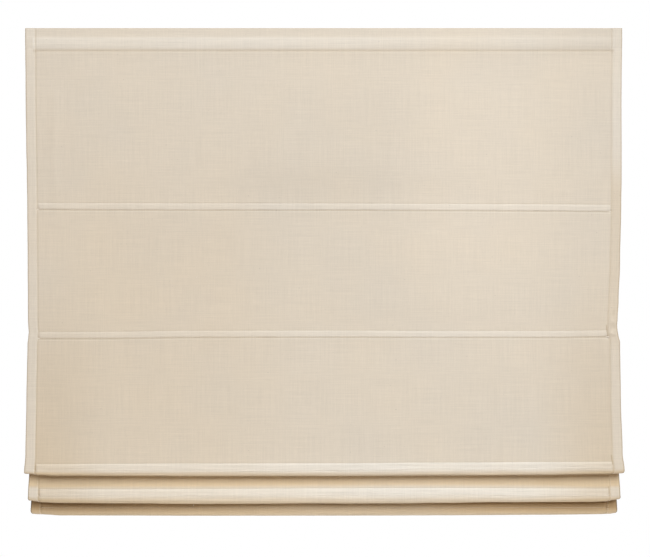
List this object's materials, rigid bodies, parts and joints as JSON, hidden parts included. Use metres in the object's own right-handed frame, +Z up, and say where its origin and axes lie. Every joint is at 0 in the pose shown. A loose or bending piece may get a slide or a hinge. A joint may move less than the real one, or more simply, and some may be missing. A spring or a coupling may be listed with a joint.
{
  "type": "roman blind",
  "caption": "Part-lowered cordless roman blind: plain beige cloth with flat ribs in sewn pockets, lower folds stacked behind one another, hung on a spring-lift headrail.",
  "frame": {"origin": "centre of the four bracket screw holes, on the recess's ceiling", "axes": "+X is the viewer's right, +Y points back towards the window, +Z is up along the screws"},
  "size_m": [1, 0.0585, 0.8261],
  "materials": {
    "cloth": "plain linen weave, warm beige, matt",
    "pocket_tape": "thin plain weave, pale beige, matt",
    "loop_strip": "soft looped pile, off white",
    "cord": "fine braid, off white",
    "hook_strip": "stiff hooked tape, off white",
    "rail_metal": "extruded, satin anodised",
    "zinc_steel": "pressed and zinc plated",
    "bar_steel": "rolled flat bar, zinc plated",
    "spring_steel": "blue-grey spring strip",
    "rib": "pultruded, pale and glossy",
    "white_plastic": "moulded, satin white",
    "grey_plastic": "moulded, mid grey",
    "spool_plastic": "moulded, light grey",
    "clear_plastic": "moulded, milky"
  },
  "bodies": {
    "headrail": {"headrail": "rail_metal", "hook_strip": "hook_strip", "loop_strip": "loop_strip", "end_cap_left": "white_plastic", "end_cap_right": "white_plastic", "bracket_left": "zinc_steel", "bracket_right": "zinc_steel", "lever_rivets": "zinc_steel", "spool_cradle_left": "white_plastic", "spool_cradle_right": "white_plastic", "motor_case": "grey_plastic", "motor_cover": "grey_plastic", "top_cloth": "cloth", "rod_pocket_1": "pocket_tape", "rib_1": "rib", "lift_cord_left": "cord", "lift_cord_right": "cord", "spring_band": "spring_steel"},
    "lever_left": {"latch_lever_left": "white_plastic"},
    "lever_right": {"latch_lever_right": "white_plastic"},
    "drive_shaft": {"drive_shaft": "zinc_steel", "cord_spool_left": "spool_plastic", "cord_spool_right": "spool_plastic", "output_drum": "spool_plastic"},
    "storage_drum": {"storage_drum": "spool_plastic"},
    "fold_2": {"fold_back_1": "cloth", "fold_face_2": "cloth", "rod_pocket_2": "pocket_tape", "rib_2": "rib", "ring_pair_1": "clear_plastic"},
    "fold_3": {"fold_back_2": "cloth", "fold_face_3": "cloth", "rod_pocket_3": "pocket_tape", "rib_3": "rib", "ring_pair_2": "clear_plastic"},
    "fold_4": {"fold_back_3": "cloth", "fold_face_4": "cloth", "rod_pocket_4": "pocket_tape", "rib_4": "rib", "ring_pair_3": "clear_plastic"},
    "fold_5": {"fold_back_4": "cloth", "fold_face_5": "cloth", "rod_pocket_5": "pocket_tape", "rib_5": "rib", "ring_pair_4": "clear_plastic"},
    "bottom_bar": {"fold_back_5": "cloth", "bottom_hem": "cloth", "bottom_bar": "bar_steel", "bar_caps": "white_plastic", "cord_anchors": "clear_plastic"}
  },
  "joints": [
    {"name": "fold_2_lift", "type": "slide", "parent": "headrail", "child": "fold_2", "axis": [0, 0.1041, 0.9946], "range_m": [0, 0.19204], "deforming": ["fold_back_1", "lift_cord_left", "lift_cord_right"]},
    {"name": "fold_3_lift", "type": "slide", "parent": "fold_2", "child": "fold_3", "axis": [0, 0.1041, 0.9946], "range_m": [0, 0.19204], "deforming": ["fold_back_2"]},
    {"name": "fold_4_lift", "type": "slide", "parent": "fold_3", "child": "fold_4", "axis": [0, 0.0932, 0.9957], "range_m": [-0.17175, 0.02], "deforming": ["fold_back_3"]},
    {"name": "fold_5_lift", "type": "slide", "parent": "fold_4", "child": "fold_5", "axis": [0, 0.0835, 0.9965], "range_m": [-0.19167, 0], "deforming": ["fold_back_4"]},
    {"name": "bar_lift", "type": "slide", "parent": "fold_5", "child": "bottom_bar", "axis": [0, 0.0844, 0.9964], "range_m": [-0.18968, 0], "deforming": ["fold_back_5"]},
    {"name": "lever_left_turn", "type": "hinge", "parent": "headrail", "child": "lever_left", "pos_m": [-0.35, 0.0195, -0.0042], "axis": [0, 0, 1], "range_deg": [0, 90]},
    {"name": "lever_right_turn", "type": "hinge", "parent": "headrail", "child": "lever_right", "pos_m": [0.35, 0.0195, -0.0042], "axis": [0, 0, 1], "range_deg": [0, 90]},
    {"name": "shaft_turn", "type": "hinge", "parent": "headrail", "child": "drive_shaft", "pos_m": [0, -0.0045, -0.024], "axis": [1, 0, 0], "continuous": true},
    {"name": "storage_turn", "type": "hinge", "parent": "headrail", "child": "storage_drum", "pos_m": [0, 0.0072, -0.0165], "axis": [1, 0, 0], "continuous": true, "deforming": ["spring_band"]}
  ],
  "couplings": [
    {"joint": "storage_turn", "follows": "shaft_turn", "ratio": -0.868}
  ]
}
